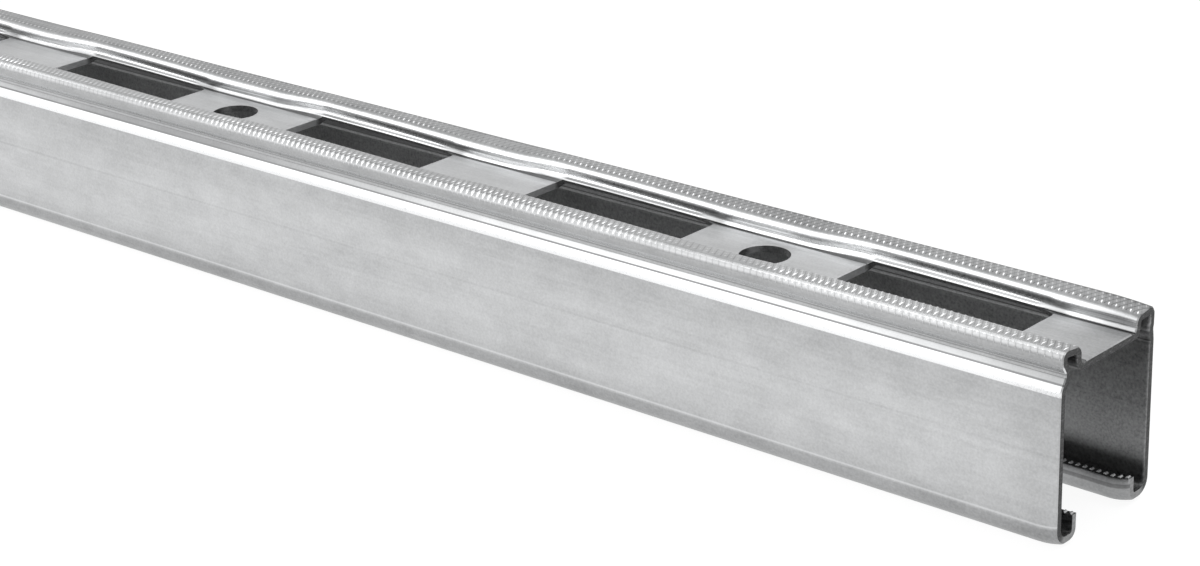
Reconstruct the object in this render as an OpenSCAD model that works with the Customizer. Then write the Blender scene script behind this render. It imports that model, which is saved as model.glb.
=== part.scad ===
/* [Rail] */
// Length of the rail, cut square at both ends
rail_l = 2000; // [400:100:6000]
// Width over the two side walls
rail_w = 41; // [39:0.5:45]
// Height from the lips to the tops of the ribs
rail_h = 51; // [49:0.5:62]
// Thickness of the cold-rolled strip
strip_t = 2; // [1.5:0.1:2.2]

/* [Ribs on the back] */
// Depth of the slotted web below the tops of the ribs
web_drop = 5.5; // [5:0.1:7]
// Width of one rib, outside to outside
rib_w = 8.3; // [7.8:0.1:9]
// How far the outer face of a rib stands back from the side wall
rib_set = 0.3; // [0:0.1:0.6]
// Inside radius of the two bends at the top of a rib
rib_bend_r = 0.4; // [0.2:0.1:0.8]
// Inside radius of the bend between a rib and the web
foot_bend_r = 2; // [1.2:0.1:2.4]

/* [Neck under the ribs] */
// Depth of the neck below the face of the side wall
neck_depth = 1.9; // [1.2:0.1:2.4]
// Height of the neck's straight bottom
neck_h = 1.2; // [1:0.1:1.8]
// Height over which the rib comes back out above the neck
bulge_h = 2.3; // [1.9:0.1:2.8]
// Height over which the shoulder slopes in to the neck
shoulder_h = 2.9; // [2.4:0.1:4]
// Straight height of the rib's outer face, up to its top
rib_face_h = 3.8; // [3.4:0.1:4.4]
// Inside radius of the bends in the neck
neck_bend_r = 0.5; // [0.3:0.1:1]
// Inside radius of the shoulder bend
shoulder_bend_r = 1.5; // [1:0.1:2]

/* [Lips] */
// Clear width of the mouth between the lips
mouth_w = 22; // [20:0.5:24]
// Height of the lips turned back into the channel
lip_h = 7; // [6:0.1:10]
// Inside radius of the bend between a side wall and its lip
heel_bend_r = 2.2; // [1:0.1:2.8]
// Inside radius of the bend at the mouth
lip_bend_r = 0.7; // [0.4:0.1:1.2]

/* [Slots and holes in the web] */
// Spacing of the round holes, and of the pairs of slots beside them
pitch = 200; // [180:5:300]
// Length of one slot
slot_l = 55.7; // [40:0.1:60]
// Width of a slot at its upper edges, in the feet of the ribs
slot_w = 23; // [22:0.1:23.4]
// Metal between the two slots of a pair, round the hole
hole_gap = 49.5; // [40:0.5:52]
// Diameter of the round holes
hole_d = 13.5; // [9:0.5:14]
// Metal between the end of the rail and its first slot
end_gap = 21.6; // [15:0.1:40]

/* [Hidden] */

// Straight pieces that stand for the arc of one bend
bend_steps = 6;
// How far a cutter runs past the face that it opens
past = 1;
// Slope of the sheared long edges of a slot, square to the bend that they cut
slot_lean = 45;

web_z = rail_h - web_drop;
rib_out = rail_w / 2 - rib_set;
rib_in = rib_out - rib_w;
neck_y = rail_w / 2 - neck_depth;
bulge_z = rail_h - rib_face_h;
neck_top = bulge_z - bulge_h;
neck_bottom = neck_top - neck_h;
shoulder_z = neck_bottom - shoulder_h;

end_to_hole = end_gap + slot_l + hole_gap / 2;
slot_off = (hole_gap + slot_l) / 2;
slot_edge_z = web_z + foot_bend_r * (1 - cos(slot_lean));

// Half of the strip's outer face as its flats would meet with no bend between them,
// from the tip of a lip to the middle of the web, each corner with its inside radius
HALF = [
    [[mouth_w / 2, lip_h], 0],
    [[mouth_w / 2, 0], lip_bend_r],
    [[rail_w / 2, 0], heel_bend_r],
    [[rail_w / 2, shoulder_z], shoulder_bend_r],
    [[neck_y, neck_bottom], neck_bend_r],
    [[neck_y, neck_top], neck_bend_r],
    [[rib_out, bulge_z], neck_bend_r],
    [[rib_out, rail_h], rib_bend_r],
    [[rib_in, rail_h], rib_bend_r],
    [[rib_in, web_z], foot_bend_r]
];

function reversed(list) = [for (i = [len(list) - 1:-1:0]) list[i]];
function other_side(corner) = [[-corner[0].x, corner[0].y], corner[1]];
function unit(v) = v / norm(v);
function left_of(v) = [-v.y, v.x];
function turned(v, angle) = [v.x * cos(angle) - v.y * sin(angle), v.x * sin(angle) + v.y * cos(angle)];

// A corner moved to the left of the path by d, so that both its flats move by d
function moved(p, before, after, d) = p + d * (left_of(before) + left_of(after)) / (1 + before * after);

// Points along the arc that joins two flats, d to the left of the outer face
function bend(corner, before, after, d) =
    let (
        side = sign(before.x * after.y - before.y * after.x),
        turn = acos(before * after),
        radius = corner[1] + (side > 0 ? strip_t - d : d),
        start = moved(corner[0], before, after, d) - radius * tan(turn / 2) * before,
        centre = start + side * radius * left_of(before)
    )
    [for (k = [0:bend_steps]) centre - side * radius * turned(left_of(before), side * turn * k / bend_steps)];

// One face of the bent strip, d to the left of its outer face
function face(corners, d) =
    let (
        last = len(corners) - 1,
        way = [for (i = [0:last - 1]) unit(corners[i + 1][0] - corners[i][0])]
    )
    concat(
        [corners[0][0] + d * left_of(way[0])],
        [for (i = [1:last - 1]) each bend(corners[i], way[i - 1], way[i], d)],
        [corners[last][0] + d * left_of(way[last - 1])]
    );

// The rolled section: one strip of even thickness, bent to shape
module section() {
    corners = concat(HALF, [for (corner = reversed(HALF)) other_side(corner)]);
    polygon(concat(face(corners, 0), reversed(face(corners, strip_t))));
}

// Cutter for one slot: square ends, and long edges sheared through the bends at the feet of the ribs
module slot() {
    above = web_drop - foot_bend_r;
    below = strip_t + foot_bend_r;
    translate([-slot_l / 2, 0, 0])
        rotate([90, 0, 90])
            linear_extrude(slot_l)
                polygon([
                    [slot_w / 2 - past, slot_edge_z + past],
                    [past - slot_w / 2, slot_edge_z + past],
                    [-slot_w / 2 - below, slot_edge_z - below],
                    [slot_w / 2 + below, slot_edge_z - below]
                ]);
}

// Cutter for one round hole in the web
module hole() {
    translate([0, 0, web_z - strip_t - past])
        cylinder(d = hole_d, h = strip_t + 2 * past, $fn = 64);
}

// The rail: the section extruded, with its slots and holes
module channel() {
    color("gainsboro")
        difference() {
            translate([-rail_l / 2, 0, 0])
                rotate([90, 0, 90])
                    linear_extrude(rail_l)
                        section();
            for (from_end = [end_to_hole:pitch:rail_l - end_to_hole + pitch]) {
                at_x = rail_l / 2 - from_end;
                for (side = [-1, 1])
                    if (from_end + side * slot_off + slot_l / 2 < rail_l - strip_t)
                        translate([at_x - side * slot_off, 0, 0]) slot();
                if (from_end + hole_d < rail_l)
                    translate([at_x, 0, 0]) hole();
            }
        }
}

channel();
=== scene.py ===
import math

import bpy
import numpy as np
from mathutils import Matrix, Vector


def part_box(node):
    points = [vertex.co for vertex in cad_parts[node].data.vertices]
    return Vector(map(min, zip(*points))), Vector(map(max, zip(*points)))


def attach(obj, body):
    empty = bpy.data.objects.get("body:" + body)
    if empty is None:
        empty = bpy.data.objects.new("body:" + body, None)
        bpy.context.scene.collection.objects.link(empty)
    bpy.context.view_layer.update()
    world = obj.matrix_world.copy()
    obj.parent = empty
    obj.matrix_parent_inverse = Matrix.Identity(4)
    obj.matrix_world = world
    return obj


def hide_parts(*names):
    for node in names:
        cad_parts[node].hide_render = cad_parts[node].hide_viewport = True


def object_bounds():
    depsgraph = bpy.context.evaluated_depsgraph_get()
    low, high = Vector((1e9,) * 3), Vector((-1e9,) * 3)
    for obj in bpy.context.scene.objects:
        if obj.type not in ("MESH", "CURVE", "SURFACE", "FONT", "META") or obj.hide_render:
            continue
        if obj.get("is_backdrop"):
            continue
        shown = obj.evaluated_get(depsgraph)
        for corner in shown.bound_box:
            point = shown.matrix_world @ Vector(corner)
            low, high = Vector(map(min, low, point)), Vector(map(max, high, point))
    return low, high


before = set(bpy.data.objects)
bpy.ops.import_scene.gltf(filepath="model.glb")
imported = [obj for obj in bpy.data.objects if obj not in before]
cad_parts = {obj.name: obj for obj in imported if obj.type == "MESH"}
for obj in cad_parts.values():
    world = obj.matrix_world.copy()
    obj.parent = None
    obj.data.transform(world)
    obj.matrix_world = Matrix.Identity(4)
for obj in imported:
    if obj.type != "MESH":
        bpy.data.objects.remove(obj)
cad_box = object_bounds()

# The camera looks at the rail's near end from the left and a little above, along its side. Its
# place and its lens were fitted to the slots, the holes and the edges of the rail.
MM = 0.001
rail_low, rail_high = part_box("channel")
near_end = rail_high.x
SENSOR_WIDTH, LENS = 36.0, 87.155
CAMERA_BEYOND, CAMERA_LEFT, CAMERA_HEIGHT = 327.7 * MM, 545.7 * MM, 307.0 * MM
camera_heading, camera_dip, camera_roll = 2.2987, 0.3689, -0.0291

camera_data = bpy.data.cameras.new("camera")
camera_data.sensor_width = SENSOR_WIDTH
camera_data.lens = LENS
camera_data.clip_end = 50.0
camera_place = Vector((near_end + CAMERA_BEYOND, -CAMERA_LEFT, CAMERA_HEIGHT))
ahead = Vector((math.cos(camera_heading) * math.cos(camera_dip),
                math.sin(camera_heading) * math.cos(camera_dip),
                -math.sin(camera_dip)))
level_right = ahead.cross(Vector((0, 0, 1))).normalized()
level_up = level_right.cross(ahead)
right = level_right * math.cos(camera_roll) + level_up * math.sin(camera_roll)
up = level_up * math.cos(camera_roll) - level_right * math.sin(camera_roll)
turned_to = Matrix((right, up, -ahead)).transposed().to_4x4()
camera = bpy.data.objects.new("camera", camera_data)
camera.matrix_world = Matrix.Translation(camera_place) @ turned_to
bpy.context.scene.collection.objects.link(camera)
bpy.context.scene.camera = camera

# The rail is one strip of zinc-coated steel. It is punched flat, with two slots beside each round
# hole, and then rolled to shape from the web outwards: foot, rib, neck, side wall, heel and lip.
# It is cut to length on a shear, which pushes its ends a little out of shape.
LENGTH = rail_high.x - rail_low.x
WALL_Y = rail_high.y
STRIP = 2.0 * MM
STUD_RISE = 0.18 * MM
RIB_TOP = rail_high.z - STUD_RISE
WEB_Z = rail_high.z - 5.5 * MM
RIB_OUT = WALL_Y - 0.4 * MM
RIB_IN = WALL_Y - 8.6 * MM
NECK_Y = WALL_Y - 1.9 * MM
BULGE_Z = rail_high.z - 3.8 * MM
NECK_TOP = BULGE_Z - 2.3 * MM
NECK_FOOT = NECK_TOP - 1.2 * MM
SHOULDER_Z = NECK_FOOT - 2.9 * MM
MOUTH_Y = 11.0 * MM
TOOTH_RISE = 0.45 * MM
LIP_Z = 7.0 * MM - TOOTH_RISE

# Corners of the outer face, from the web to the tip of the lip: name, place, inside radius, steps
CORNERS = [
    ("foot", (RIB_IN, WEB_Z), 2.0 * MM, 8),
    ("rib_inner", (RIB_IN, RIB_TOP), 0.4 * MM, 8),
    ("rib_outer", (RIB_OUT, RIB_TOP), 0.4 * MM, 8),
    ("bulge", (RIB_OUT, BULGE_Z), 0.5 * MM, 4),
    ("neck_top", (NECK_Y, NECK_TOP), 0.5 * MM, 4),
    ("neck_foot", (NECK_Y, NECK_FOOT), 0.5 * MM, 4),
    ("shoulder", (WALL_Y, SHOULDER_Z), 1.5 * MM, 4),
    ("heel", (WALL_Y, 0.0), 2.2 * MM, 8),
    ("lip", (MOUTH_Y, 0.0), 0.7 * MM, 6),
]
TIP = (MOUTH_Y, LIP_Z)
ARC_POINTS = 32


def left_of(v):
    return np.array((-v[1], v[0]))


# The strip's middle line: distance along it from the middle of the web, place and heading
points = [np.array((0.0, WEB_Z))] + [np.array(c[1]) for c in CORNERS] + [np.array(TIP)]
ways = [(b - a) / np.linalg.norm(b - a) for a, b in zip(points, points[1:])]
line = [(0.0, 0.0, WEB_Z - STRIP / 2, 0.0)]
bends = {}
for (name, corner, inside, steps), before, after in zip(CORNERS, ways, ways[1:]):
    middle = np.array(corner) - STRIP / 2 * (left_of(before) + left_of(after)) / (1 + before @ after)
    turn = math.atan2(before[0] * after[1] - before[1] * after[0], before @ after)
    radius = inside + STRIP / 2
    start = middle - before * radius * math.tan(abs(turn) / 2)
    centre = start + math.copysign(radius, turn) * left_of(before)
    spoke = start - centre
    along, y, z, heading = line[-1]
    first = along + math.hypot(start[0] - y, start[1] - z)
    for step in range(ARC_POINTS + 1):
        swept = turn * step / ARC_POINTS
        arc_y = centre[0] + (spoke[0] * math.cos(swept) - spoke[1] * math.sin(swept))
        arc_z = centre[1] + (spoke[0] * math.sin(swept) + spoke[1] * math.cos(swept))
        line.append((first + radius * abs(swept), arc_y, arc_z, heading + swept))
    bends[name] = (first, first + radius * abs(turn), steps)
along, y, z, heading = line[-1]
last_y, last_z = TIP[0] + STRIP / 2, TIP[1]
line.append((along + math.hypot(last_y - y, last_z - z), last_y, last_z, heading))
line = np.array(line)
HALF_WIDTH = line[-1, 0]


def bend_at(name, share):
    """Distance across the strip to a share of the way through a bend."""
    return bends[name][0] + share * (bends[name][1] - bends[name][0])


# Slots and holes, by their distance from the near end
PITCH = 200 * MM
SLOT = 55.7 * MM
HOLE_GAP = 49.5 * MM
HOLE_R = 6.75 * MM
END_TO_HOLE = 21.6 * MM + SLOT + HOLE_GAP / 2
holes = [END_TO_HOLE + k * PITCH for k in range(int((LENGTH - END_TO_HOLE) / PITCH) + 1)]
slots = sorted(h + side * (HOLE_GAP + SLOT) / 2 - SLOT / 2 for h in holes for side in (-1, 1))

# A slot's long edges lie in the feet of the ribs. Its ends are straight over the flat of the web,
# and round towards the feet, more at the near end than at the far one. Round each hole the mesh
# leaves a square as wide as that straight part.
SLOT_EDGE = (bends["foot"][0] + bends["foot"][1]) / 2
SLOT_FLAT = 9.0 * MM
NEAR_CORNER, FAR_CORNER = 8.0 * MM, 1.5 * MM

# What the slots do to the ribs: with no web to hold it down, a rib springs up and leans out
BOW_IN, BOW_OUT, LEAN = 0.7 * MM, 0.05 * MM, 0.4 * MM
RISE_BEFORE, FALL_AFTER = 6 * MM, 20 * MM

# What the shear does at each end: how far along the rail it reaches, how far it moves the metal,
# and the heights, or distances from the middle, between which each effect fades
CUT_REACH, HEEL_LIFT, LIP_SPREAD = 6 * MM, 1.0 * MM, 0.9 * MM
HEEL_HEIGHTS, LIP_HEIGHTS, LIP_WIDTHS = (2 * MM, 16 * MM), (6 * MM, 12 * MM), (13 * MM, 18 * MM)
FAR_CUT_REACH, NECK_PUSH, WALL_PULL, RIB_SINK = 14 * MM, 1.3 * MM, 0.3 * MM, 0.7 * MM
RIB_HEIGHTS = (40 * MM, 50 * MM)


def smooth(low, high, value):
    share = np.clip((value - low) / (high - low), 0, 1)
    return share * share * (3 - 2 * share)


def neck_share(across):
    """How far into the neck a distance across the strip is, from 0 to 1."""
    return smooth(bends["bulge"][0], bends["neck_top"][0], across) * (
        1 - smooth(bends["neck_foot"][1], bends["shoulder"][1], across))


def spring(d):
    """How far a rib has sprung up at distance d from the near end, from 0 to 1."""
    most = np.zeros_like(d)
    for slot in slots:
        rise = np.sin(np.pi / 2 * np.clip((d - slot + RISE_BEFORE) / (SLOT + RISE_BEFORE), 0, 1))
        fall = np.cos(np.pi / 2 * np.clip((d - slot - SLOT) / FALL_AFTER, 0, 1)) ** 2
        most = np.maximum(most, rise * fall)
    return most


def place(d, across, height):
    """Where a point of the flat strip ends up: d from the near end, across it, and above its middle."""
    reach = np.abs(across)
    side = np.sign(across)
    y, z, heading = (np.interp(reach, line[:, 0], line[:, k]) for k in (1, 2, 3))
    y = y - height * np.sin(heading)
    z = z + height * np.cos(heading)
    up = spring(d)
    foot, rib_inner, rib_outer = (bends[n] for n in ("foot", "rib_inner", "rib_outer"))
    top = 1 - smooth(rib_inner[0], rib_outer[1], reach)
    inner = smooth(foot[0], SLOT_EDGE, reach) * top
    outer = smooth(rib_inner[0], rib_inner[1], reach) * (
        1 - smooth(rib_outer[0], bends["neck_top"][0], reach))
    z = z - (BOW_IN * inner + BOW_OUT * outer * (1 - inner)) * (1 - up)
    y = y + LEAN * smooth(SLOT_EDGE, foot[1] + 0.7 * MM, reach) * top * up
    # The shear pushed the heels up and the lips apart
    end = np.minimum(d, LENGTH - d)
    cut = np.clip(1 - end / CUT_REACH, 0, 1) ** 2
    z = z + HEEL_LIFT * cut * (1 - smooth(*HEEL_HEIGHTS, z))
    y = y + LIP_SPREAD * cut * (1 - smooth(*LIP_HEIGHTS, z)) * (1 - smooth(*LIP_WIDTHS, y))
    # On the right side it flattened the neck, and sank the rib
    far_cut = np.clip(1 - end / FAR_CUT_REACH, 0, 1) ** 2 * (side > 0)
    y = y + NECK_PUSH * far_cut * neck_share(reach)
    y = y - WALL_PULL * far_cut * smooth(bends["neck_top"][0], bends["shoulder"][1], reach)
    z = z - RIB_SINK * far_cut * smooth(foot[1], rib_inner[0], reach) * smooth(*RIB_HEIGHTS, z)
    return np.stack([near_end - d, side * y, z], -1)


# Lines that run along the strip, by their distance from its middle. Past the part of the rail that
# the camera sees, only those marked True go on.
FINE_TO = END_TO_HOLE + 1.5 * PITCH
HOLE_STEPS, COARSE_HOLE_STEPS = 8, 4
goes_on = {}
for k in range(-HOLE_STEPS, HOLE_STEPS + 1):
    goes_on[SLOT_FLAT * math.tan(k / HOLE_STEPS * math.pi / 4)] = k % 2 == 0
half_lines = [(bends["foot"][0], True)]
for share in (0.25, 0.5, 0.72, 0.9):
    half_lines.append((bends["foot"][0] + share * (SLOT_EDGE - bends["foot"][0]), share == 0.5))
half_lines += [(SLOT_EDGE, True), (SLOT_EDGE + 0.25 * MM, True)]
half_lines += [(SLOT_EDGE + (bends["foot"][1] - SLOT_EDGE) * k / 4, k % 2 == 0) for k in (1, 2, 3, 4)]
for name, (first, last, steps) in list(bends.items())[1:]:
    half_lines += [(first + (last - first) * k / steps, k % 2 == 0) for k in range(steps + 1)]
wall_from, wall_to = bends["shoulder"][1], bends["heel"][0]
half_lines += [(wall_from + (wall_to - wall_from) * k / 4, k == 2) for k in (1, 2, 3)]
half_lines += [(HALF_WIDTH - 0.3 * MM, True), (HALF_WIDTH, True)]
for across, coarse in half_lines:
    goes_on[across] = coarse
    goes_on[-across] = coarse
across_lines = sorted(goes_on)
fine_lines = list(range(len(across_lines)))
coarse_lines = [k for k, a in enumerate(across_lines) if goes_on[a]]

# Rows across the strip, in millimetres: their distances from a cut end and from the end of a slot,
# and the longest gap between two of them
END_ROWS = (0.3, 0.9, 1.8, 3.0, 4.5, 6.0, 9.0)
SLOT_ROWS, COARSE_SLOT_ROWS = (0.0, 0.3, 3.0, 7.0, 12.0), (0.0, 0.3, 5.0)
LONGEST_GAP, LONGEST_COARSE_GAP = 7, 20
SAME_PLACE = 1e-7


def rows_along():
    """Distances of the rows across the strip, with more at the ends, slots and holes."""
    rows = {0.0, LENGTH}
    for step in END_ROWS:
        rows |= {step * MM, LENGTH - step * MM}
    for slot in slots:
        steps = SLOT_ROWS if slot < FINE_TO else COARSE_SLOT_ROWS
        rows |= {slot - s * MM for s in steps} | {slot + s * MM for s in steps[2:]}
        rows |= {slot + SLOT + s * MM for s in steps} | {slot + SLOT - s * MM for s in steps[2:]}
    for hole in holes:
        count = HOLE_STEPS if hole < FINE_TO else COARSE_HOLE_STEPS
        rows |= {hole + SLOT_FLAT * math.tan(k / count * math.pi / 4) for k in range(-count, count + 1)}
    ordered = sorted(rows)
    filled = [ordered[0]]
    for low, high in zip(ordered, ordered[1:]):
        if high - low < SAME_PLACE:
            continue
        longest = (LONGEST_GAP if high < FINE_TO else LONGEST_COARSE_GAP) * MM
        parts = max(1, math.ceil((high - low) / longest))
        filled += [low + (high - low) * (k + 1) / parts for k in range(parts)]
    return np.array(filled)


# Faces between the rows and the lines, with gaps for the slots and a square gap round each hole
rows = rows_along()
width = len(across_lines)
flat = [(d, a) for d in rows for a in across_lines]
faces = []
for row in range(len(rows) - 1):
    middle = (rows[row] + rows[row + 1]) / 2
    in_slot = any(slot < middle < slot + SLOT for slot in slots)
    by_hole = any(abs(middle - hole) < SLOT_FLAT for hole in holes)
    this = fine_lines if rows[row] < FINE_TO else coarse_lines
    following = fine_lines if rows[row + 1] < FINE_TO else coarse_lines
    shared = following if len(following) < len(this) else this
    for low, high in zip(shared, shared[1:]):
        reach = abs(across_lines[low] + across_lines[high]) / 2
        if (in_slot and reach < SLOT_EDGE) or (by_hole and reach < SLOT_FLAT):
            continue
        near_side = [row * width + k for k in this if low <= k <= high]
        far_side = [(row + 1) * width + k for k in following if low <= k <= high]
        faces.append(near_side + far_side[::-1])

# Round each hole, rings of faces lead from its edge out to the square gap
HOLE_RIM = 0.3 * MM
for hole in holes:
    lines = fine_lines if hole < FINE_TO else coarse_lines
    square_lines = [k for k in lines if abs(across_lines[k]) < SLOT_FLAT + SAME_PLACE]
    square_rows = [k for k, d in enumerate(rows) if abs(d - hole) < SLOT_FLAT + SAME_PLACE]
    rim = [(square_rows[0], k) for k in square_lines]
    rim += [(r, square_lines[-1]) for r in square_rows[1:]]
    rim += [(square_rows[-1], k) for k in square_lines[-2::-1]]
    rim += [(r, square_lines[0]) for r in square_rows[-2:0:-1]]
    ring = [r * width + k for r, k in rim]
    for radius in (HOLE_R + HOLE_RIM, HOLE_R):
        inner_ring = []
        for r, k in rim:
            spoke = np.array((rows[r] - hole, across_lines[k]))
            spoke = spoke / np.linalg.norm(spoke) * radius
            inner_ring.append(len(flat))
            flat.append((hole + spoke[0], spoke[1]))
        for k in range(len(ring)):
            after = (k + 1) % len(ring)
            faces.append([ring[k], ring[after], inner_ring[after], inner_ring[k]])
        ring = inner_ring

flat = np.array(flat)
used = sorted({v for f in faces for v in f})
renumber = {v: k for k, v in enumerate(used)}
faces = [[renumber[v] for v in f] for f in faces]
flat = flat[used]

# The corners of a slot are round: its end rows bend back along the foot of the rib
CORNER_FADE_IN, CORNER_FADE_OUT = 14 * MM, 12 * MM
d, across = flat[:, 0].copy(), flat[:, 1]
reach = np.abs(across)
corner_share = np.clip((reach - SLOT_FLAT) / (SLOT_EDGE - SLOT_FLAT), 0, 1)
corner = 1 - np.sqrt(1 - corner_share ** 2)
corner = corner * (1 - smooth(bends["foot"][1], bends["rib_inner"][0], reach))
for slot in slots:
    for at, size, inward in ((slot, NEAR_CORNER, 1), (slot + SLOT, FAR_CORNER, -1)):
        gone_in = (flat[:, 0] - at) * inward
        fade = np.where(gone_in > 0, 1 - gone_in / (size + CORNER_FADE_IN), 1 + gone_in / CORNER_FADE_OUT)
        d += inward * size * corner * np.clip(fade, 0, 1)

# Both faces of the strip, and the cut edges between them. The shear and the punch rolled each edge
# over a little, most at the rail's ends, and more on the outer face than on the inner one.
END_ROLL, LONG_EDGE_ROLL, PUNCHED_ROLL = 0.3 * MM, 0.02 * MM, 0.12 * MM
ROLL_RATIO = 2.5
SHARP_ANGLE = math.radians(38)
edges = {(a, b) for f in faces for a, b in zip(f, f[1:] + f[:1])}
cut_edges = [(a, b) for a, b in edges if (b, a) not in edges]
on_cut = np.zeros(len(flat), bool)
on_cut[[a for edge in cut_edges for a in edge]] = True
at_end = np.minimum(flat[:, 0], LENGTH - flat[:, 0]) < SAME_PLACE
long_edge = on_cut & (np.abs(reach - SLOT_EDGE) < SAME_PLACE)
rolled = np.where(on_cut, PUNCHED_ROLL, 0)
rolled = np.where(at_end, END_ROLL, np.where(long_edge, LONG_EDGE_ROLL, rolled))
outer = place(d, across, STRIP / 2 - rolled)
inner = place(d, across, rolled / ROLL_RATIO - STRIP / 2)
count = len(flat)
all_faces = faces + [[v + count for v in f[::-1]] for f in faces]
all_faces += [[b, a, a + count, b + count] for a, b in cut_edges]
strip_mesh = bpy.data.meshes.new("rail")
strip_mesh.from_pydata(np.concatenate([outer, inner]).tolist(), [], all_faces)
strip_mesh.validate()
flat_map = strip_mesh.uv_layers.new(name="strip")
loop_vertices = np.zeros(len(strip_mesh.loops), int)
strip_mesh.loops.foreach_get("vertex_index", loop_vertices)
flat_places = np.stack([d, across], -1)[loop_vertices % count]
flat_map.data.foreach_set("uv", flat_places.astype(np.float32).ravel())
surface_of = np.zeros(len(all_faces), int)
surface_of[len(faces):2 * len(faces)] = 1
surface_of[2 * len(faces):] = 2
strip_mesh.polygons.foreach_set("material_index", surface_of)
strip_mesh.polygons.foreach_set("use_smooth", np.ones(len(all_faces), bool))
strip_mesh.set_sharp_from_angle(angle=SHARP_ANGLE)
rail = bpy.data.objects.new("rail", strip_mesh)
bpy.context.scene.collection.objects.link(rail)


class Value:
    """A number in a material: a socket, with arithmetic that adds Math nodes."""

    def __init__(self, material, socket):
        self.material = material
        self.socket = socket

    def maths(self, operation, *others):
        node = self.material.node("ShaderNodeMath", {"operation": operation},
                                  {0: self, **{k + 1: v for k, v in enumerate(others)}})
        return Value(self.material, node.outputs[0])

    def __add__(self, other):
        return self.maths("ADD", other)

    def __sub__(self, other):
        return self.maths("SUBTRACT", other)

    def __rsub__(self, other):
        return (self * -1) + other

    def __mul__(self, other):
        return self.maths("MULTIPLY", other)

    __radd__ = __add__
    __rmul__ = __mul__

    def abs(self):
        return self.maths("ABSOLUTE")

    def between(self, low, high):
        """0 below low, 1 above high, smooth in between."""
        node = self.material.node("ShaderNodeMapRange", {"interpolation_type": "SMOOTHSTEP"},
                                  {"Value": self, "From Min": low, "From Max": high})
        return Value(self.material, node.outputs[0])

    def band(self, low, high, soft):
        """1 from low to high, with soft edges."""
        return self.between(low - soft, low) * (1 - self.between(high, high + soft))


class Finish:
    """A material built from nodes."""

    def __init__(self, name):
        self.data = bpy.data.materials.new(name)
        self.data.use_nodes = True
        self.tree = self.data.node_tree
        self.shader = self.tree.nodes["Principled BSDF"]

    def node(self, kind, settings=None, values=None):
        node = self.tree.nodes.new(kind)
        for name, setting in (settings or {}).items():
            setattr(node, name, setting)
        for name, value in (values or {}).items():
            self.put(node.inputs[name], value)
        return node

    def put(self, socket, value):
        if isinstance(value, Value):
            value = value.socket
        if isinstance(value, bpy.types.NodeSocket):
            self.tree.links.new(value, socket)
        else:
            socket.default_value = value

    def object_place(self):
        return self.node("ShaderNodeTexCoord").outputs["Object"]

    def flat_place(self):
        """Distance from the near end, and across the strip, from its flat map."""
        uv = self.node("ShaderNodeUVMap", {"uv_map": "strip"}).outputs["UV"]
        split = self.node("ShaderNodeSeparateXYZ", None, {0: uv})
        return Value(self, split.outputs[0]), Value(self, split.outputs[1])

    def noise(self, place, scale, detail=3.0, roughness=0.5, stretch=(1, 1, 1), shift=(0, 0, 0)):
        moved = self.node("ShaderNodeMapping", None, {"Vector": place, "Location": shift, "Scale": stretch})
        node = self.node("ShaderNodeTexNoise", None, {"Vector": moved.outputs[0], "Scale": scale,
                                                      "Detail": detail, "Roughness": roughness})
        return Value(self, node.outputs["Fac"])

    def mix(self, share, low, high):
        """A colour, from low where share is 0 to high where it is 1."""
        node = self.node("ShaderNodeMix", {"data_type": "RGBA"}, {0: share, 6: low, 7: high})
        return node.outputs[2]

    def bump(self, height, depth, strength=1.0):
        node = self.node("ShaderNodeBump", None, {"Height": height, "Distance": depth, "Strength": strength})
        return node.outputs[0]

    def set(self, **sockets):
        for name, value in sockets.items():
            self.put(self.shader.inputs[name.replace("_", " ")], value)


def grey(level, tint=0.01):
    """A grey with a trace of blue."""
    return (level * (1 - tint), level, level * (1 + tint), 1)


# The knurling wheel leaves a stud every 2 mm, and presses now more on the corner of the rib and now
# more on its top. It presses most on the top at BEAT_START, and again every BEAT from there. The
# painted shade in the neck crease is lightest at the start that follows BEAT_START, and again as often.
STUD_PITCH = 2.0 * MM
STUD_ROW = 1.85 * MM
LATTICE_ROW = bends["rib_outer"][0] - 0.15 * MM
BEAT, BEAT_START, PALE_CREASE_START = 370 * MM, 40 * MM, 120 * MM
# DULL_ZINC is the level of plain zinc; the value after it is the level that the painted highlights reach.
DULL_ZINC, HIGHLIGHT_ZINC = 0.475, 0.92


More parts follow.
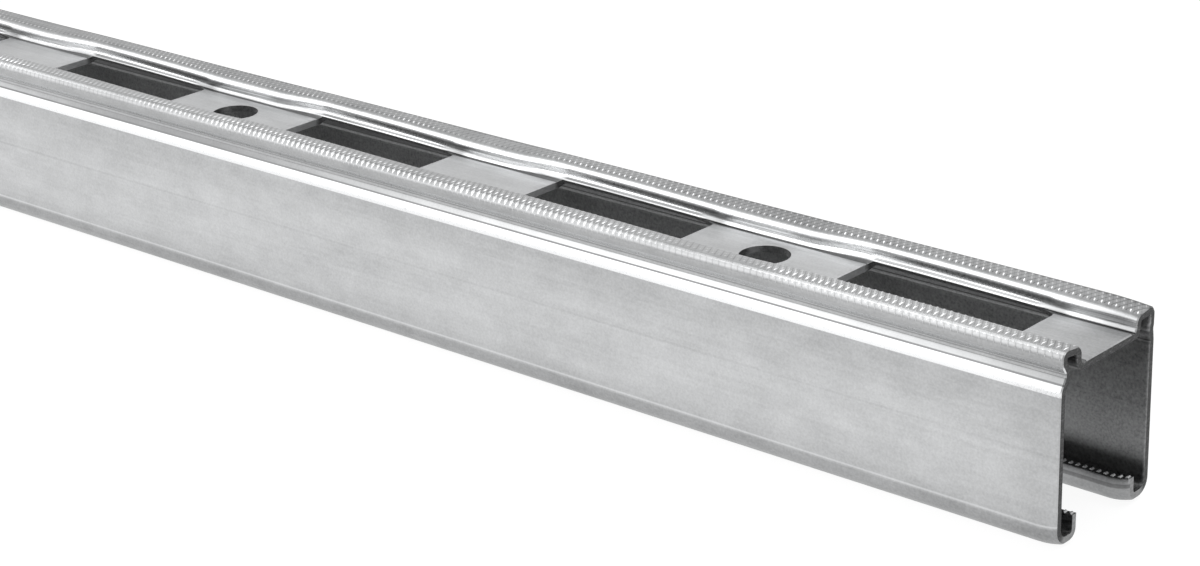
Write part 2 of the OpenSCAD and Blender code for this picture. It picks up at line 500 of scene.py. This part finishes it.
def zinc_finish(name, bright, rough, mottle, highlight_share):
    """Zinc coating: dull and faintly mottled on the flats, with painted highlights on the bends and painted
    shade in the creases.
    """
    zinc = Finish(name)
    spot = zinc.object_place()
    along, across = zinc.flat_place()
    right_side = across.between(-1 * MM, 1 * MM)
    across = across.abs()
    cloud = zinc.noise(spot, 45, 4, 0.55, stretch=(0.3, 1, 1))
    patches = zinc.noise(spot, 160, 3, 0.6, stretch=(0.6, 1, 1), shift=(9, 4, 2))
    grain = zinc.noise(spot, 1500, 2, 0.6, shift=(3, 1, 7))
    drawn = zinc.noise(spot, 900, 3, 0.6, stretch=(0.02, 1, 1), shift=(5, 2, 4))
    scratch = zinc.noise(spot, 2200, 2, 0.6, stretch=(0.015, 1, 1), shift=(1, 8, 3))
    uneven = (grain - 0.5).abs()

    # Masks along the rail: beside a slot, at its near corners, where a rib has sprung up, and at the
    # rail's ends
    past_hole = (along - END_TO_HOLE + PITCH).maths("MODULO", PITCH)
    from_hole = past_hole.maths("PINGPONG", PITCH / 2)
    by_slot = from_hole.band(HOLE_GAP / 2 + 2 * MM, HOLE_GAP / 2 + SLOT - 3 * MM, 3 * MM)
    by_corner, sprung = 0, 0
    for start in (HOLE_GAP / 2, PITCH - HOLE_GAP / 2 - SLOT):
        by_corner = past_hole.band(start - 1 * MM, start + 3 * MM, 4 * MM) + by_corner
        sprung = past_hole.band(start + 0.6 * SLOT, start + SLOT + 4 * MM, 15 * MM) + sprung
    by_end = 1 - along.between(3 * MM, 22 * MM) * (1 - along.between(LENGTH - 22 * MM, LENGTH - 3 * MM))
    beat, pale_crease = [((along - start) * (2 * math.pi / BEAT)).maths("COSINE") * 0.5 + 0.5
                   for start in (BEAT_START, PALE_CREASE_START)]

    # Painted shade in fine crossed lines on the tops of the ribs, where the knurling wheel leaves grooves
    # between its studs
    groove_shade = 0
    for way in (-1, 1):
        slant = (across - LATTICE_ROW) * (way / 2 / STUD_ROW)
        groove = (along * (1 / STUD_PITCH) + slant).maths("PINGPONG", 0.5)
        groove_shade = (1 - groove.between(0.03, 0.14)) * (0.7 + way * 0.3) + groove_shade

    # Dull flats, darker at the ends of the rail, low on the walls and in the knurl
    wall = across.band(bends["shoulder"][1] + 12 * MM, bends["heel"][0] - 8 * MM, 10 * MM)
    low = across.between(bends["heel"][0] - 1.2 * MM, bends["heel"][0] - 0.6 * MM)
    rib_wall = across.band(bend_at("rib_outer", 1), bend_at("bulge", 0.5), 0.3 * MM)
    knurl = across.band(bend_at("rib_inner", 0.6), bend_at("rib_outer", 0.9), 0.3 * MM)
    top = across.band(bend_at("rib_inner", 0.8), bend_at("rib_outer", 0.1), 0.3 * MM)
    roll_line = across.band(bends["heel"][0] - 20 * MM, bends["heel"][0] - 19.7 * MM, 0.3 * MM)
    level = DULL_ZINC + (cloud - 0.5) * 0.14 + (patches - 0.5) * 0.16
    level = level + (drawn - 0.5) * 0.1 + (grain - 0.5) * mottle
    level = level + wall * 0.07 - by_end * 0.06 - low * 0.1 - roll_line * 0.04 - rib_wall * 0.05
    level = (level - knurl * (0.06 + right_side * 0.06) - top * groove_shade * 0.12) * bright

    # Painted highlights along the bends and the edges of the ribs: from where, to where, how soft in
    # millimetres, how strong
    crease = bends["neck_foot"][1] + 0.7 * (bends["shoulder"][0] - bends["neck_foot"][1])
    over_shoulder = across.between(bend_at("shoulder", 0.2), bend_at("shoulder", 0.8))
    highlight_bands = [
        (crease + 0.3 * MM, bend_at("shoulder", 1.0) + 0.2 * MM, 0.3,
         (0.3 + over_shoulder * 0.75 - by_end * 0.2) * (0.9 + beat * 0.15 - uneven * (1 + by_end * 2))),
        (bend_at("bulge", 1.2), bend_at("neck_top", 0.4), 0.3, 0.55),
        (bend_at("rib_outer", 0.4), bend_at("rib_outer", 0.52), 0.2,
         beat * (0.75 - uneven * 3) * (1 - right_side)),
        (bend_at("rib_inner", 0.1) + by_slot * 0.4 * MM, bend_at("rib_inner", 0.38), 0.2,
         (1 - by_end) * 0.5),
        (bend_at("foot", 0.58), bend_at("foot", 1.1), 0.2,
         drawn.between(0.3, 0.6) * (0.6 + by_slot * 0.4) * (1 - by_corner * 0.6) * (1 - by_end * 0.8)),
        (bend_at("foot", 1.15), bend_at("rib_inner", 0), 0.3, sprung * 0.7),
        (bends["heel"][0] - 1.7 * MM, bends["heel"][0] - 1.4 * MM, 0.2, 0.3),
    ]
    painted_highlight = 0
    for first, last, soft, strength in highlight_bands:
        painted_highlight = across.band(first, last, soft * MM) * strength + painted_highlight
    painted_highlight = (painted_highlight * highlight_share).maths("MINIMUM", 1.0)
    level = level + (HIGHLIGHT_ZINC - level) * painted_highlight

    # Painted shade: dark lines in the creases, and in the grooves at the corners of the ribs
    near_shoulder = across.between(bend_at("neck_foot", 0.5), bend_at("neck_foot", 1.5))
    shade_bands = [
        (crease - 0.18 * MM, crease + 0.18 * MM, 0.15, 0.8),
        (bend_at("neck_top", 0.85), bend_at("neck_top", 1.3), 0.15, 0.4),
        (bend_at("neck_foot", 0.1), crease - 0.3 * MM, 0.1, 0.7 - pale_crease * (0.2 + near_shoulder * 0.5)),
        (bend_at("rib_outer", 0.55), bend_at("rib_outer", 0.95), 0.15,
         (0.06 + groove_shade * 0.25) * (1 - right_side) * (0.3 + beat * 0.7)),
        (bend_at("rib_outer", 0.3), bend_at("rib_outer", 0.7), 0.2, (1 - beat) * 0.3),
        (bend_at("rib_outer", 0), bend_at("rib_outer", 0.5), 0.3, right_side * 0.4),
        (bend_at("rib_inner", -0.2), bend_at("rib_inner", 0.15), 0.3, by_slot * 0.5),
        (bend_at("foot", -0.5), bend_at("foot", 0.02), 0.5, 0.15),
        (bend_at("foot", 0.02), bend_at("foot", 0.48), 0.25, 0.75),
        (bend_at("foot", 0.64), bend_at("foot", 0.82), 0.15, by_slot * (1 - by_corner) * 0.85),
        (bend_at("foot", 0.45), bend_at("foot", 0.9), 0.3, by_corner * 0.5),
        (bend_at("foot", 0.4), bend_at("foot", 1.3), 0.3,
         scratch.between(0.5, 0.7) * (1 - by_slot) * 0.5 + by_end * 0.25),
        (HALF_WIDTH - 2.5 * MM, HALF_WIDTH - 1.7 * MM, 0.3, 0.5),
    ]
    painted_shade = 0
    for first, last, soft, strength in shade_bands:
        painted_shade = across.band(first, last, soft * MM) * strength + painted_shade
    level = level * (1 - painted_shade * 0.85)
    zinc.set(Base_Color=zinc.mix(level, grey(0), grey(1)), Metallic=1.0,
             Roughness=rough + (grain - 0.5) * 0.2 + knurl * 0.06 - painted_highlight * 0.12,
             Normal=zinc.bump(cloud * 0.6 + patches * 0.15 + grain * 0.1, 0.0003, 0.5))
    return zinc.data


# The inner face has the same zinc as the outer one. Its lower level is painted shade for the inside of the
# channel, and it takes a tenth of the painted highlights.
outside_finish = zinc_finish("zinc_outside", bright=1.0, rough=0.36, mottle=0.2, highlight_share=1.0)
shaded_inside_finish = zinc_finish("zinc_inner_shaded", bright=0.62, rough=0.44, mottle=0.6, highlight_share=0.1)

# Where the shear and the punch went through, the steel shows. It is dark at the rail's ends and
# along the slots, where painted shade darkens it further, lighter on the ends of the lips, and
# lightest across the ends of the slots, where a highlight is painted.
steel = Finish("cut_steel")
streak = steel.noise(steel.object_place(), 1500, 3, 0.6, stretch=(1, 0.4, 1))
along, across = steel.flat_place()
across = across.abs()
punched = along.between(1 * MM, 2 * MM) * (1 - along.between(LENGTH - 2 * MM, LENGTH - 1 * MM))
from_hole = (along - END_TO_HOLE).maths("PINGPONG", PITCH / 2)
past_rim = from_hole.between(12 * MM, 14 * MM)
slot_end_highlight = past_rim * (1 - across.between(SLOT_FLAT, SLOT_FLAT + 2 * MM))
slot_side_shade = across.band(SLOT_FLAT + 0.5 * MM, SLOT_EDGE + 0.5 * MM, 0.3 * MM) * punched
lip_end = across.between(bend_at("heel", 0.4), bend_at("heel", 0.9))
lip_tip = across.between(HALF_WIDTH - 0.1 * MM, HALF_WIDTH) * punched
lighter = punched * (0.2 + slot_end_highlight * 0.7) - slot_side_shade * 0.15
lighter = lighter + lip_end * 0.3 - lip_tip * 0.6 + (streak - 0.5) * 0.4
lighter = lighter.maths("MAXIMUM", 0.0).maths("MINIMUM", 1.0)
steel.set(Base_Color=steel.mix(lighter, grey(0.05), grey(0.75)), Metallic=1.0,
          Roughness=0.45, Normal=steel.bump(streak, 0.0002, 0.6))
for finish in (outside_finish, shaded_inside_finish, steel.data):
    strip_mesh.materials.append(finish)
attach(rail, "root")
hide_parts("channel")

# The studs are a knurl that the last rolls press into the tops and outer corners of the ribs, out
# of the strip's own steel and zinc, so that a bracket cannot slide along the back of the rail.
# They are deepest where a rib has sprung up.
STUD_SINK = 0.05 * MM
# Rows of studs, from the outer face of the rib inwards: how deep, how wide across the rib, how long
# along it, how far turned, and how strong the painted highlight on the crests is
LEFT_ROWS = [(0.45, 0.42, 0.36, 0.6, 0.12), (1.0, 0.4, 0.75, 0.0, 1.0), (1.0, 1.2, 0.36, 0.08, 1.3),
             (1.0, 0.9, 0.4, 0.5, 0.5), (1.0, 0.6, 0.45, 0.5, 0.4)]
RIGHT_ROWS = [(0.3, 0.3, 0.5, 0.3, 0.0), (0.5, 0.4, 0.5, 0.6, 0.1), (0.6, 0.7, 0.4, 0.6, 0.15),
              (0.6, 0.7, 0.4, 0.6, 0.15), (0.9, 0.36, 0.28, 0.6, 1.0)]
# Stretches of each rib where the knurl is worn to half its depth, in millimetres: middle and half
# length. Each fades in and out.
LEFT_WORN = [(103, 18), (352, 26), (560, 30), (815, 24), (1130, 40), (1475, 28), (1790, 35)]
RIGHT_WORN = [(210, 24), (265, 14), (405, 46), (640, 30), (980, 44), (1290, 26), (1620, 50), (1880, 24)]
WORN_DEPTH, WORN_FADE = 0.5, 8


# Painted highlights on the crests of the studs, and painted shade in the grooves between them
knurled = Finish("zinc_knurled")
crest, crest_glint = [Value(knurled, knurled.node("ShaderNodeAttribute", {"attribute_name": name}).outputs["Fac"])
                 for name in ("crest", "crest_glint")]
speck = knurled.noise(knurled.object_place(), 1500, 2, 0.6)
level = 0.36 + crest.between(0.0, 0.7) * (0.06 + crest_glint * 0.5) + (speck - 0.5) * 0.15
knurled.set(Base_Color=knurled.mix(level, grey(0), grey(1)), Metallic=1.0,
            Roughness=0.36 + (speck - 0.5) * 0.15, Normal=knurled.bump(speck, 0.0001, 0.3))


class Shape:
    """A Geometry Nodes tree with named inputs."""

    def __init__(self, name, sizes):
        self.tree = bpy.data.node_groups.new(name, "GeometryNodeTree")
        face = self.tree.interface
        face.new_socket("Geometry", in_out="INPUT", socket_type="NodeSocketGeometry")
        self.sockets = {}
        for size in sizes:
            socket = face.new_socket(size, in_out="INPUT", socket_type="NodeSocketFloat")
            self.sockets[size] = socket.identifier
        face.new_socket("Geometry", in_out="OUTPUT", socket_type="NodeSocketGeometry")
        self.input = self.tree.nodes.new("NodeGroupInput")
        self.output = self.tree.nodes.new("NodeGroupOutput")

    def node(self, kind, settings=None, values=None):
        node = self.tree.nodes.new(kind)
        for name, setting in (settings or {}).items():
            setattr(node, name, setting)
        for name, value in (values or {}).items():
            if isinstance(value, bpy.types.NodeSocket):
                self.tree.links.new(value, node.inputs[name])
            else:
                node.inputs[name].default_value = value
        return node

    def size(self, name):
        return self.input.outputs[name]

    def finish(self, geometry, material):
        realized = self.node("GeometryNodeRealizeInstances", None, {"Geometry": geometry})
        painted = self.node("GeometryNodeSetMaterial", None,
                            {"Geometry": realized.outputs[0], "Material": material})
        self.tree.links.new(painted.outputs[0], self.output.inputs[0])

    def run(self, mesh, name, sizes):
        """A plain mesh object, made from the tree run on mesh."""
        base = bpy.data.objects.new(name + "_base", mesh)
        bpy.context.scene.collection.objects.link(base)
        modifier = base.modifiers.new("shape", "NODES")
        modifier.node_group = self.tree
        for size, value in sizes.items():
            modifier[self.sockets[size]] = value
        shaped = base.evaluated_get(bpy.context.evaluated_depsgraph_get())
        made = bpy.data.meshes.new_from_object(shaped)
        bpy.data.objects.remove(base)
        made.name = name
        piece = bpy.data.objects.new(name, made)
        bpy.context.scene.collection.objects.link(piece)
        return piece


def points_mesh(name, places):
    """A mesh of loose points."""
    mesh = bpy.data.meshes.new(name)
    mesh.from_pydata(places.tolist(), [], [])
    return mesh


# One stud is a four-sided pyramid with a flat top, its middle ring raised to round it
STUD_TOP, STUD_SWELL = 0.3, 0.22
stud = Shape("stud", ["Length", "Width", "Rise"])
diamond = stud.node("GeometryNodeMeshCone", None,
                    {"Vertices": 4, "Side Segments": 2, "Radius Top": STUD_TOP, "Radius Bottom": 1.0,
                     "Depth": 1.0})
spot = stud.node("GeometryNodeInputPosition")
level = stud.node("ShaderNodeSeparateXYZ", None, {0: spot.outputs[0]})
from_middle = stud.node("ShaderNodeMath", {"operation": "ABSOLUTE"}, {0: level.outputs["Z"]})
middle = stud.node("FunctionNodeCompare", {"data_type": "FLOAT", "operation": "LESS_THAN"},
                   {0: from_middle.outputs[0], 1: 0.1})
dome = stud.node("GeometryNodeSetPosition", None,
                 {"Geometry": diamond.outputs[0], "Selection": middle.outputs[0],
                  "Offset": (0, 0, STUD_SWELL)})
risen = stud.node("GeometryNodeInputPosition")
height = stud.node("ShaderNodeSeparateXYZ", None, {0: risen.outputs[0]})
crest_height = stud.node("ShaderNodeMath", {"operation": "ADD"}, {0: height.outputs["Z"], 1: 0.5})
marked = stud.node("GeometryNodeStoreNamedAttribute", {"data_type": "FLOAT", "domain": "POINT"},
                   {"Geometry": dome.outputs[0], "Name": "crest", "Value": crest_height.outputs[0]})
turn = stud.node("GeometryNodeInputNamedAttribute", {"data_type": "FLOAT"}, {"Name": "turn"})
size = stud.node("GeometryNodeInputNamedAttribute", {"data_type": "FLOAT_VECTOR"}, {"Name": "size"})
turned = stud.node("ShaderNodeCombineXYZ", None, {"Z": turn.outputs[0]})
whole = stud.node("ShaderNodeCombineXYZ", None,
                  {"X": stud.size("Length"), "Y": stud.size("Width"), "Z": stud.size("Rise")})
scaled = stud.node("ShaderNodeVectorMath", {"operation": "MULTIPLY"},
                   {0: size.outputs[0], 1: whole.outputs[0]})
set_out = stud.node("GeometryNodeInstanceOnPoints", None,
                    {"Points": stud.input.outputs["Geometry"], "Instance": marked.outputs[0],
                     "Rotation": turned.outputs[0], "Scale": scaled.outputs[0]})
rounded = stud.node("GeometryNodeSetShadeSmooth", None, {"Geometry": set_out.outputs[0]})
stud.finish(rounded.outputs[0], knurled.data)

# The outer face bends more widely than the middle line, so the rows are spaced along the face
face_y = line[:, 1] - STRIP / 2 * np.sin(line[:, 3])
face_z = line[:, 2] + STRIP / 2 * np.cos(line[:, 3])
face_length = np.concatenate([[0], np.cumsum(np.hypot(np.diff(face_y), np.diff(face_z)))])
first_row = np.interp(LATTICE_ROW, line[:, 0], face_length) + 2 * STUD_ROW
row_places = first_row - STUD_ROW * np.arange(5)
per_row = int(LENGTH / STUD_PITCH) - 1
chance = np.random.default_rng(7)
for side, name, sizes, stretches in ((-1, "knurl_left", LEFT_ROWS, LEFT_WORN),
                                     (1, "knurl_right", RIGHT_ROWS, RIGHT_WORN)):
    row, step = np.divmod(np.arange(len(sizes) * per_row), per_row)
    d = STUD_PITCH * (step + 0.5 + 0.5 * (row % 2))
    across = side * np.interp(row_places[row], face_length, line[:, 0])
    deep, wide, long, turn, crest_glint = np.array(sizes)[row].T
    kept = np.ones(len(d))
    for middle, half in stretches:
        unworn = smooth(half - WORN_FADE, half + WORN_FADE, np.abs(d / MM - middle))
        kept = kept * (WORN_DEPTH + (1 - WORN_DEPTH) * unworn)
    # On the left rib the beads on the corner are small where the beat is strong, and the rest large
    if side < 0:
        beat = 0.5 + 0.5 * np.cos(2 * np.pi * (d - BEAT_START) / BEAT)
        kept = kept * np.select([row == 1, row == 2, row > 2],
                                [1 - 0.4 * beat, 0.8 + 0.2 * beat, 0.4 + 0.6 * beat], 1)
        wide = wide * np.select([row == 1, row == 2], [1.45 - 0.45 * beat, 0.75 + 0.25 * beat], 1)
        long = long * np.where(row == 1, 1.25 - 0.25 * beat, 1)
    deep, crest_glint = deep * kept, crest_glint * kept
    deep = deep * (0.6 + 0.4 * smooth(0.1, 0.5, spring(d))) * chance.uniform(0.85, 1, len(d))
    crest_glint = crest_glint * chance.uniform(0.7, 1, len(d))
    mesh = points_mesh(name, np.stack([-d, across, np.full(len(d), STRIP / 2 - STUD_SINK)], -1))
    for attribute, values in (("turn", turn), ("crest_glint", crest_glint)):
        stored = mesh.attributes.new(attribute, "FLOAT", "POINT")
        stored.data.foreach_set("value", values.astype(np.float32))
    studs = np.stack([long, wide, deep], -1).astype(np.float32)
    stored = mesh.attributes.new("size", "FLOAT_VECTOR", "POINT")
    stored.data.foreach_set("vector", studs.ravel())
    piece = stud.run(mesh, name, {"Length": STUD_PITCH / 2, "Width": STUD_ROW,
                                  "Rise": STUD_RISE + STUD_SINK})
    # The studs stand on the flat strip so far: bend them with it
    flat_studs = np.zeros(3 * len(piece.data.vertices))
    piece.data.vertices.foreach_get("co", flat_studs)
    x, across, height = flat_studs.reshape(-1, 3).T
    piece.data.vertices.foreach_set("co", place(-x, across, height).ravel())
    piece.data.update()
    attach(piece, "root")

# The teeth are pressed out of the strip's own steel, across the tips of the lips and square to the
# rail. The grooves of a channel nut bite on them when its bolt is tightened.
TOOTH_PITCH = 2.0 * MM
TOOTH_LENGTH, TOOTH_WIDTH = 0.5 * TOOTH_PITCH, 0.65 * STRIP
TOOTH_SINK, TOOTH_SHIFT = 0.1 * MM, 0.2 * MM
RIDGE_LENGTH, RIDGE_WIDTH = 0.3, 0.95
tooth = Shape("tooth", ["Length", "Width", "Rise"])
block = tooth.node("GeometryNodeMeshCube", None, {"Size": (1, 1, 1)})
spot = tooth.node("GeometryNodeInputPosition")
height = tooth.node("ShaderNodeSeparateXYZ", None, {0: spot.outputs[0]})
above = tooth.node("FunctionNodeCompare", {"data_type": "FLOAT", "operation": "GREATER_THAN"},
                   {0: height.outputs["Z"], 1: 0.0})
ridge = tooth.node("ShaderNodeVectorMath", {"operation": "MULTIPLY"},
                   {0: spot.outputs[0], 1: (RIDGE_LENGTH, RIDGE_WIDTH, 1)})
wedge = tooth.node("GeometryNodeSetPosition", None,
                   {"Geometry": block.outputs[0], "Selection": above.outputs[0],
                    "Position": ridge.outputs[0]})
scaled = tooth.node("ShaderNodeCombineXYZ", None,
                    {"X": tooth.size("Length"), "Y": tooth.size("Width"), "Z": tooth.size("Rise")})
set_out = tooth.node("GeometryNodeInstanceOnPoints", None,
                     {"Points": tooth.input.outputs["Geometry"], "Instance": wedge.outputs[0],
                      "Scale": scaled.outputs[0]})
tooth.finish(set_out.outputs[0], outside_finish)
for side, name in ((-1, "teeth_left"), (1, "teeth_right")):
    d = TOOTH_PITCH * (np.arange(int(LENGTH / TOOTH_PITCH)) + 0.5)
    tips = place(d, np.full(len(d), side * HALF_WIDTH), np.zeros(len(d)))
    tips[:, 2] += (TOOTH_RISE - TOOTH_SINK) / 2
    tips[:, 1] += side * TOOTH_SHIFT
    piece = tooth.run(points_mesh(name, tips), name,
                      {"Length": TOOTH_LENGTH, "Width": TOOTH_WIDTH, "Rise": TOOTH_RISE + TOOTH_SINK})
    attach(piece, "root")

# The rail lies with its lips on a wide white studio floor. The floor is shown nearly white to the
# camera and in the metal, and keeps the rail's shadow.
FLOOR = 6.0
FLOOR_GREY, FLOOR_GLOW, GLOW_SHARE = 0.85, 1.13, 0.8
floor_mesh = bpy.data.meshes.new("floor")
corners = [(-FLOOR, -FLOOR, 0), (FLOOR, -FLOOR, 0), (FLOOR, FLOOR, 0), (-FLOOR, FLOOR, 0)]
floor_mesh.from_pydata(corners, [], [(0, 1, 2, 3)])
floor = bpy.data.objects.new("floor", floor_mesh)
bpy.context.scene.collection.objects.link(floor)
white = Finish("floor_white")
white.set(Base_Color=(FLOOR_GREY, FLOOR_GREY, FLOOR_GREY, 1), Roughness=0.9)
rays = white.node("ShaderNodeLightPath").outputs
seen = Value(white, rays["Is Camera Ray"])
for ray in ("Is Glossy Ray", "Is Transmission Ray"):
    seen = seen.maths("MAXIMUM", Value(white, rays[ray]))
glow = white.node("ShaderNodeEmission", None, {"Color": (1, 1, 1, 1), "Strength": FLOOR_GLOW})
blend = white.node("ShaderNodeMixShader", None,
                   {0: seen * GLOW_SHARE, 1: white.shader.outputs[0], 2: glow.outputs[0]})
output = white.tree.nodes["Material Output"]
white.tree.links.new(blend.outputs[0], output.inputs["Surface"])
floor_mesh.materials.append(white.data)
floor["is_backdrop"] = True

# Plain studio light: a white room, seen at full white but lighting the rail at half that, and two
# softboxes, in front and above
ROOM_LIGHT, ROOM_SEEN = 0.5, 1.0
world = bpy.data.worlds.new("room")
world.use_nodes = True
bpy.context.scene.world = world
room = world.node_tree.nodes
light_path = room.new("ShaderNodeLightPath")
white_seen = room.new("ShaderNodeMath")
white_seen.operation = "MAXIMUM"
world.node_tree.links.new(light_path.outputs["Is Camera Ray"], white_seen.inputs[0])
world.node_tree.links.new(light_path.outputs["Is Glossy Ray"], white_seen.inputs[1])
strength = room.new("ShaderNodeMapRange")
strength.inputs["To Min"].default_value = ROOM_LIGHT
strength.inputs["To Max"].default_value = ROOM_SEEN
world.node_tree.links.new(white_seen.outputs[0], strength.inputs["Value"])
world.node_tree.links.new(strength.outputs[0], room["Background"].inputs["Strength"])
room["Background"].inputs["Color"].default_value = (1, 1, 1, 1)


def softbox(name, place, target, size, power):
    """A square lamp that faces the target."""
    lamp = bpy.data.lights.new(name, "AREA")
    lamp.shape = "RECTANGLE"
    lamp.size = size
    lamp.size_y = size
    lamp.energy = power
    box = bpy.data.objects.new(name, lamp)
    box.location = place
    box.rotation_euler = (target - place).to_track_quat("-Z", "Y").to_euler()
    bpy.context.scene.collection.objects.link(box)


near_place = Vector((near_end - 0.1, 0, 0.05))
softbox("front_box", near_place + Vector((-1.12, -1.46, 0.84)), near_place, size=1.6, power=16)
softbox("top_box", near_place + 2.0 * Vector((0.2, 0.33, 0.92)), near_place, size=1.0, power=13)

bpy.context.scene.view_settings.view_transform = "Standard"
visual_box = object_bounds()
sizes = {"cad": [list(cad_box[0]), list(cad_box[1])], "visual": [list(visual_box[0]), list(visual_box[1])]}
